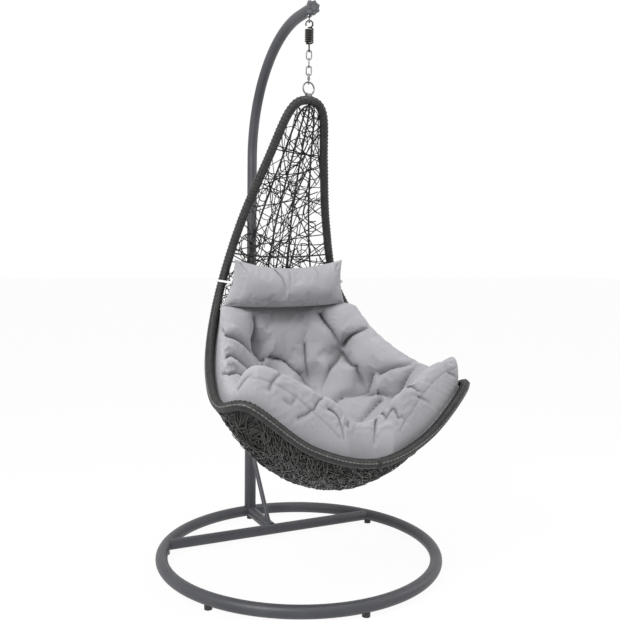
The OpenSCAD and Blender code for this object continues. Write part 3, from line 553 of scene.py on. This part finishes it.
def weave_net():
    """Open net of the back: long, nearly straight strands, with small loops among them."""
    rng = np.random.default_rng(11)
    u, v = strand_lines(rng, 92, (0.25, 4.75), (0.25, 0.75), (0.25, 2.0), 26)
    net = strand_piece("net_strands", rng, u, v, (-0.003, 0.002), 0.0012, 0.0018, 0.0011)
    u, v = strand_lines(rng, 84, (0.4, 4.7), (0.12, 0.3), (0.016, 0.05), 30)
    loops = strand_piece("net_loops", rng, u, v, (-0.003, 0.002), 0.001, 0.0017, 0.0011)
    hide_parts("back_net")
    return net, loops


def weave_bowl():
    """Dense nest on the outside of the bowl, over the dark inner layer, whose colour is partly painted shade for the
    gaps between the strands.
    """
    rng = np.random.default_rng(23)
    for number in range(3):
        u, v = strand_lines(rng, 620, (4.5, 9.93), (0.1, 0.34), (0.04, 0.3), 18)
        strand_piece(f"bowl_strands_{number + 1}", rng, u, v, (-0.0105 + 0.0015 * number, -0.006), 0.0022,
                     0.0017, 0.0011, NEST)


weave_net()
weave_bowl()


def edge_share(u):
    """Share v at which the wall comes clear of the rim, for each station."""
    line = along(RIM, np.linspace(0, 10, 500))
    low, high = np.zeros_like(u), np.ones_like(u)
    for _ in range(12):
        mid = (low + high) / 2
        place = wall(u, mid)
        place[..., 0] = np.abs(place[..., 0])
        fine = np.linalg.norm(place[:, None] - line[None], axis=2).min(1) > 0.0189
        low, high = np.where(fine, mid, low), np.where(fine, high, mid)
    return low


def bound_rods(name, u, column, level, radius, node):
    """Rods bound with thin wicker: the radius swells with each turn of the binding. Columns are in
    twelfths of the way from the middle to the rim's clearance."""
    fine = np.linspace(0, 1, 700)
    size = radius * (0.93 + 0.1 * (np.arange(700) % 3 == 1))
    grids = []
    for ends, columns in zip(u, column):
        us = np.interp(fine, (0, 1), ends)
        vs = edge_share(us) * np.interp(fine, (0, 1), columns) / 12
        normal = inward(us, vs)
        path = wall(us, vs) + level * normal
        grids.append(rod(hung(path)[None], turned(normal)[None], size[None], size[None], 10)[0])
    ob = piece(name, np.array(grids), "basket", STRAND)
    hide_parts(node)
    return ob


RIB_LEVEL, ROD_LEVEL = 0.0058, 0.0053
bound_rods("ribs", [(0.6, 9.5)] * 4, [(k, k) for k in (-7, -2, 2, 7)], RIB_LEVEL, 0.0034, "back_ribs")
bound_rods("rods", [(u, u) for u in (3.5, 5.5, 7.0)], [(-12.3, 12.3)] * 3, ROD_LEVEL, 0.0029, "cross_rods")


# ---- Cushions ------------------------------------------------------------------------------
TUFTS = np.array([(5.3, -0.3), (5.7, -0.12), (5.5, 0.46), (5.9, 0.2), (6.25, 0.47), (6.4, -0.45), (6.65, 0.55),
                  (7.1, 0.1), (7.3, -0.4), (7.7, 0.4), (8.2, 0), (8.6, 0.4), (8.6, -0.4)])


def swell(ob, held, pressure, cap, loose):
    """Cloth under air pressure for 20 steps: points stay by their weight in held, the rest swell by
    at most cap; loose is the share of cloth that there is too much, which wrinkles."""
    before = np.empty(len(ob.data.vertices) * 3, np.float32)
    ob.data.vertices.foreach_get("co", before)
    group = ob.vertex_groups.new(name="held")
    steps = np.round(held, 1)
    for weight in np.unique(steps):
        group.add(np.flatnonzero(steps == weight).tolist(), float(weight), "REPLACE")
    cloth = ob.modifiers.new("cloth", "CLOTH")
    settings = cloth.settings
    settings.use_pressure, settings.uniform_pressure_force = True, pressure
    settings.vertex_group_mass, settings.pin_stiffness = "held", 1
    settings.effector_weights.gravity = 0
    settings.shrink_min = -loose
    settings.quality = 4
    cloth.collision_settings.use_collision = False
    scene = bpy.context.scene
    for step in range(1, 21):
        scene.frame_set(step)
    result = ob.evaluated_get(bpy.context.evaluated_depsgraph_get()).data
    after = np.empty_like(before)
    result.vertices.foreach_get("co", after)
    ob.modifiers.remove(cloth)
    ob.vertex_groups.remove(group)
    scene.frame_set(1)
    move = (after - before).reshape(-1, 3).astype(float)
    size = np.maximum(np.linalg.norm(move, axis=1, keepdims=True), 1e-9)
    return before.reshape(-1, 3) + move * cap * np.tanh(size / cap) / size


def reach_of(points, path):
    """Distance of points (n, 3) from a path (k, 3), and how far along it the nearest place is."""
    best, share = np.full(len(points), 9.0), np.zeros(len(points))
    for i, (a, b) in enumerate(zip(path[:-1], path[1:])):
        t = np.clip((points - a) @ (b - a) / max((b - a) @ (b - a), 1e-9), 0, 1)
        far = np.linalg.norm(points - a - t[:, None] * (b - a), axis=1)
        nearer = far < best
        best, share = np.where(nearer, far, best), np.where(nearer, (i + t) / (len(path) - 1), share)
    return best, share


def normals(grid):
    """Directions square to a grid (rows, columns, 3)."""
    return unit(np.cross(np.gradient(grid, axis=1), np.gradient(grid, axis=0)))


def eased(count):
    """Shares from -1 to 1 that come closer together at the ends, where the cloth rolls over."""
    return np.sin(np.linspace(-1, 1, count) * np.pi / 2)


def paint_fold_shade(ob, dark):
    """Stores painted shade, from 0 to 1, for the cloth's colour: how deep in the folds and seams each point lies."""
    ob.data.attributes.new("painted_fold_shade", "FLOAT", "POINT").data.foreach_set("value", dark.astype(np.float32))


def cushion_station(b):
    """Station of a share b of the way from the cushion's back edge (-1) to its front edge (1)."""
    return np.maximum(4.25 + 2.625 * (b + 1), 4.42 + 0.84 * (b + 1))


def cushion_faces(a, b):
    """Under side and top of the seat cushion for shares a across and b from back to front, as in the
    solids: thicker to the sides, dipped at the tufts, swollen over the rim and puffed up in front."""
    u = cushion_station(b)
    v = edge_share(u[:, 0])[:, None] * a
    base, up = wall(u, v), inward(u, v)
    near = np.linalg.norm(base[:, :, None] - wall(*TUFTS.T), axis=3)
    dip = np.exp(-1.6 * (near / 0.062) ** 2).max(2)
    fall = np.sqrt((1 - a ** 6) * (1 - b ** 6))
    front = np.maximum(b, 0)
    full = 0.11 + (0.08 - 0.02 * b - 0.11) * (1 - a ** 4) * (1 - front ** 6)
    high = 0.0156 + fall * (full - 0.006) * (1 - 0.45 * dip)
    out = unit(wall(u, np.sign(a) + 0 * u) - wall(u, 0.75 * np.sign(a) + 0 * u))
    hang = (0.115 - 0.055 * b) * np.abs(a) ** 5 * np.sqrt((1 - a ** 12) * (1 - b ** 8))
    ramp = np.minimum(front / 0.8, 1)
    puff = 0.205 * ramp ** 2 * (3 - 2 * ramp) * (1 - (1 - np.abs(a) ** 3) * (1 - front ** 6))
    puff = puff * (1 - 0.38 * np.maximum(a, 0) ** 2 * np.exp(-((b - 0.42) / 0.12) ** 2))
    top = base + high[..., None] * up + hang[..., None] * out
    top[..., 2] += puff * np.sqrt((1 - a ** 12) * (1 - b ** 16))
    return base + 0.0096 * up, top


# Folds of the seat cushion: depth and half width in millimetres, then stations with shares across
FOLDS = [
    (30, 12, (4.6, -0.45), (4.95, -0.42), (5.35, -0.36), (5.6, -0.28)),
    (22, 11, (5.45, -0.33), (5.56, 0), (5.8, 0.18), (6.0, 0.25)), (14, 10, (5.3, 0.27), (5.6, 0.24), (5.9, 0.24)),
    (30, 12, (4.55, 0.55), (5.1, 0.6), (5.45, 0.6)), (28, 12, (5.45, 0.6), (5.25, 0.74), (5.04, 0.9)),
    (30, 12, (5.5, 0.58), (5.95, 0.61), (6.3, 0.56)), (24, 11, (5.5, 0.58), (5.8, 0.42), (6.0, 0.28)),
    (26, 12, (6.3, 0.56), (6.31, 0.42), (6.4, 0.2)), (18, 11, (6.3, 0.56), (6.18, 0.64), (6.15, 0.7)),
    (26, 12, (6.35, 0.55), (6.5, 0.6), (6.65, 0.66)), (20, 10, (6.2, 0.69), (6.22, 0.78), (6.32, 0.88)),
    (18, 10, (6.65, 0.66), (6.53, 0.78), (6.45, 0.86)), (18, 10, (6.6, 0.6), (6.68, 0.5), (6.8, 0.36)),
    (24, 11, (4.95, -0.98), (5.1, -0.86), (5.35, -0.6), (5.5, -0.36)), (20, 11, (5.7, -0.97), (5.6, -0.86), (5.7, -0.7), (5.78, -0.56)),
    (20, 11, (6.12, -0.99), (6.22, -0.94), (6.05, -0.8), (6.2, -0.6)), (24, 12, (6.4, -0.56), (5.9, -0.45), (5.55, -0.3)),
    (20, 12, (6.4, -0.56), (6.8, -0.2), (7.1, 0.12)), (20, 12, (7.1, 0.12), (7.7, 0.5)), (20, 12, (7.1, 0.12), (7.3, -0.5)),
    (20, 12, (7.7, 0.5), (8.2, 0)), (20, 12, (8.2, 0), (7.3, -0.5)), (22, 12, (8.2, 0), (8.6, 0.5), (9.1, 0.66)),
    (22, 12, (8.2, 0), (8.6, -0.5), (9.1, -0.66)), (20, 12, (7.7, 0.5), (7.5, 0.72), (7.4, 0.88)),
    (20, 12, (7.3, -0.5), (7.4, -0.72), (7.4, -0.88)), (20, 12, (6.65, 0.66), (7.1, 0.5), (7.7, 0.5)),
    (12, 8, (7.48, -0.99), (7.7, -0.985), (7.92, -0.98)), (10, 6, (8.24, -0.99), (8.33, -0.97), (8.4, -0.95)),
    (9, 6, (8.49, -0.99), (8.59, -0.99), (8.68, -0.98)), (13, 8, (8.7, -0.995), (8.84, -0.99), (9.0, -0.98), (9.15, -0.94)),
    (13, 8, (9.24, -0.96), (9.4, -0.94), (9.44, -0.98)), (11, 7, (9.43, -0.54), (9.46, -0.7), (9.45, -0.9)),
    (14, 9, (9.43, 0.46), (9.47, 0.4), (9.49, 0.3)), (13, 8, (9.4, 0.6), (9.45, 0.75), (9.4, 0.95)),
    (12, 8, (9.42, 0.85), (9.38, 0.97), (9.26, 0.99)), (12, 8, (8.96, 0.98), (8.8, 0.99), (8.7, 0.995)),
    (12, 8, (8.24, 0.985), (8.1, 0.992), (8.0, 0.997)), (10, 8, (9.1, 0.93), (8.96, 0.97), (8.8, 0.985)),
]
# Sewn seams, parallel to the cushion's edge on both sides
SEAMS = [((7.9, -0.985), (8.38, -0.98), (8.71, -0.98), (9.04, -0.985), (9.38, -0.99)),
         ((7.9, 0.985), (8.38, 0.98), (8.71, 0.98), (9.04, 0.985), (9.38, 0.99))]


def doubled(rough):
    """Grid (rows, columns, 3) with a new point half way between every two."""
    rows, cols = rough.shape[:2]
    fine = np.zeros((2 * rows - 1, 2 * cols - 1, 3))
    fine[::2, ::2] = rough
    fine[1::2, ::2] = (rough[:-1] + rough[1:]) / 2
    fine[:, 1::2] = (fine[:, :-1:2] + fine[:, 2::2]) / 2
    return fine


def seat_cushion():
    """Loose foam-filled cushion: cloth swelled between its folds, which are then drawn in, with
    sewn seams along its sides."""
    rows, cols = 281, 341
    a, b = eased(cols)[None], eased(rows)[:, None]
    under, top = cushion_faces(a, b)
    flat, up = top.reshape(-1, 3), normals(top).reshape(-1, 3)
    up *= np.sign(np.sum(up * (top - under).reshape(-1, 3)))

    def on_top(path):
        """Points close together along a path of stations and shares, on the cushion's top."""
        step = np.linspace(0, len(path) - 1, 8 * len(path) - 7)
        u, share = (np.interp(step, range(len(path)), [spot[k] for spot in path]) for k in (0, 1))
        row = np.interp(u, cushion_station(b)[:, 0], np.arange(rows))
        col = np.interp(share, a[0], np.arange(cols))
        i, j = np.minimum(row.astype(int), rows - 2), np.minimum(col.astype(int), cols - 2)
        r, c = (row - i)[:, None], (col - j)[:, None]
        return (top[i, j] * (1 - r) * (1 - c) + top[i + 1, j] * r * (1 - c)
                + top[i, j + 1] * (1 - r) * c + top[i + 1, j + 1] * r * c)

    draw, hold, crease, dark = (np.zeros(len(flat)) for _ in range(4))
    for depth, width, *path in FOLDS:
        far, share = reach_of(flat, on_top(path))
        ease = 1 - 0.75 * np.clip(share - 0.25, 0, 1)
        near = 1 - np.clip(far / (width * 0.0034), 0, 1)
        draw = np.maximum(draw, depth * 0.001 * ease * (1 - np.sqrt(1 - near ** 2)))
        hold = np.maximum(hold, ease * np.exp(-(far / 0.007) ** 2))
        crease = np.maximum(crease, depth * 0.001 * ease * np.exp(-far / 0.0045))
        # Painted shade: each fold darkens the cloth along its line, more for deeper folds and less towards its end.
        dark = np.maximum(dark, np.minimum(depth / 20, 1) * (1 - 0.8 * share ** 3) * np.exp(-(far / 0.0042) ** 2))
    edge = (np.sqrt((1 - a ** 30) * (1 - b ** 30)) * np.ones(top.shape[:2])).ravel()
    inset = (0.009 * (1 - np.exp(-((b + 1) / 0.12) ** 2)) * (1 - 0.8 * a ** 6)).ravel()
    flat = flat - ((inset + draw) * edge)[:, None] * up
    held = np.maximum(0.95 * hold, 1 - edge).reshape(top.shape[:2])[::2, ::2].ravel()
    shape = flat.reshape(top.shape)
    rough = pad("cushion_rough", hung(shape[::2, ::2]), hung(under[::2, ::2]), "basket", CLOTH)
    moved = swell(rough, np.concatenate([held, np.ones(len(held))]), 4.5, 0.022, 0.02)
    moved = moved[:len(held)].reshape(shape[::2, ::2].shape) - hung(shape[::2, ::2])
    bpy.data.objects.remove(rough)
    swollen = hung(shape) + doubled(moved)
    sunk = 0.5 * crease * edge
    for path in SEAMS:
        far, _ = reach_of(top.reshape(-1, 3), on_top(path))
        sunk += 0.003 * np.exp(-(far / 0.0035) ** 2) * edge
        # Painted shade along the sunk seams, lighter than in the folds.
        dark = np.maximum(dark, 0.3 * np.exp(-(far / 0.003) ** 2))
    swollen -= (sunk[:, None] * turned(up)).reshape(top.shape)
    ob = pad("cushion", swollen, hung(under), "basket", CLOTH)
    # The painted shade goes onto the top only; the under side gets none.
    paint_fold_shade(ob, np.concatenate([dark, 0 * dark]))
    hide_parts("seat_cushion")
    return ob


def pillow_faces(a, b):
    """Front and back of the head pillow, as in the solids, with a slightly hanging middle."""
    half = 0.2335 - 0.0155 * b - 0.014 * (1 - b * b)
    grids = []
    for bulge, power in ((-0.046, 4), (0.086, 2)):
        crown = np.clip((1 - np.abs(a) ** power), 0, 1) ** 0.6 * np.sqrt(1 - np.abs(b) ** np.where(b < 0, 2.6, 2))
        y = np.sign(bulge) * 0.003 + (bulge - np.sign(bulge) * 0.003) * crown
        z = b * (0.164 - 0.014 * (1 - a * a)) / 2 - (0.011 * (1 + b) + 0.0045 * (1 - b)) * (1 - a * a)
        lean = np.radians(10)
        grids.append(np.stack(np.broadcast_arrays(a * half, PILLOW_Y + y * np.cos(lean) - z * np.sin(lean),
                     PILLOW_Z + y * np.sin(lean) + z * np.cos(lean) - 0.006 * (1 - a * a)), -1))
    return grids


PILLOW_Z = APEX_Z - 0.622
station = np.interp(-PILLOW_Z, -wall(np.linspace(1, 5, 400), 0)[:, 2], np.linspace(1, 5, 400))
PILLOW_Y = float(wall(station, 0)[1]) - 0.002 - 0.0074 - 0.086 / np.cos(np.radians(10))


def head_pillow():
    """Soft pillow, creased down its middle and rippled along its lower seam."""
    rows, cols = 81, 161
    a = np.sin(np.linspace(-1, 1, cols) * np.pi / 2)[None]
    b = np.sin(np.linspace(-1, 1, rows) * np.pi / 2)[:, None]
    front, back = pillow_faces(a, b)
    aa, bb = np.broadcast_arrays(a, b)
    spots = np.stack([aa * 0.23, bb * 0.08, 0 * aa], -1).reshape(-1, 3)
    draw, dark = np.zeros(len(spots)), np.zeros(len(spots))
    for depth, width, *path in ((13, 7, (-0.3, 0.95), (-0.2, 0.6), (-0.14, 0.1)), (6, 6, (-0.05, 0.9), (-0.06, 0.2)),
                                (7, 8, (0.9, 0.9), (0.75, 0.5)), (7, 8, (-0.92, 0.9), (-0.8, 0.5)),
                                (7, 8, (0.92, -0.9), (0.7, -0.6)), (7, 8, (-0.92, -0.9), (-0.7, -0.6)),
                                (5, 6, (0.5, -0.95), (0.42, -0.6)), (5, 6, (0.2, -0.95), (0.26, -0.55)),
                                (5, 6, (-0.4, -0.95), (-0.33, -0.6)), (5, 6, (0.45, 0.95), (0.5, 0.6)),
                                (4, 14, (-0.7, -0.5), (0, -0.62), (0.7, -0.45))):
        far, share = reach_of(spots, np.array([(x * 0.23, y * 0.08, 0) for x, y in path]))
        draw = np.maximum(draw, depth * 0.001 * (1 - 0.6 * share) * np.exp(-far / (width * 0.001)))
        # Painted shade: each crease darkens the pillow along its line, most for the deepest one, fading towards its
        # end.
        dark = np.maximum(dark, depth / 13 * (1 - share) * np.exp(-(far / 0.0035) ** 2))
    fade = ((1 - aa ** 20) * (1 - bb ** 20)).ravel()
    flat = front.reshape(-1, 3) + (draw * fade)[:, None] * (0, 1, 0)
    ob = pad("pillow", hung(flat.reshape(front.shape)), hung(back), "basket", CLOTH)
    rim = np.concatenate([1 - fade, 1 - 0.3 * fade])
    swollen = swell(ob, rim, 3, 0.007, 0.02)
    ob.data.vertices.foreach_set("co", swollen.astype(np.float32).ravel())
    ob.data.update()
    paint_fold_shade(ob, np.concatenate([dark, 0 * dark]))
    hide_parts("head_pillow")
    return ob


seat_cushion()
head_pillow()
for name in ("tie_left", "tie_right"):
    paint_node(name, ELASTIC)


# ---- Floor ---------------------------------------------------------------------------------
def lay_floor():
    """Large pale floor, white to the camera, that keeps the chair's soft shadow."""
    mesh = bpy.data.meshes.new("floor")
    mesh.from_pydata([(-30, -30, 0), (30, -30, 0), (30, 30, 0), (-30, 30, 0)], [], [(0, 1, 2, 3)])
    floor = bpy.data.objects.new("floor", mesh)
    bpy.context.scene.collection.objects.link(floor)
    f = Finish("floor_white", (0.96, 0.96, 0.96), 0.9)
    mix = white_to_camera(f.tree, f.shader, 1.0)
    mix.inputs[0].default_value = 0.5
    f.tree.links.new(mix.outputs[0], f.tree.nodes["Material Output"].inputs["Surface"])
    half = f.node("ShaderNodeMath", operation="MULTIPLY")
    half.inputs[1].default_value = 0.95
    f.link(mix.inputs[0].links[0].from_socket, half.inputs[0])
    f.link(half.outputs[0], mix.inputs[0])
    mesh.materials.append(f.mat)


lay_floor()
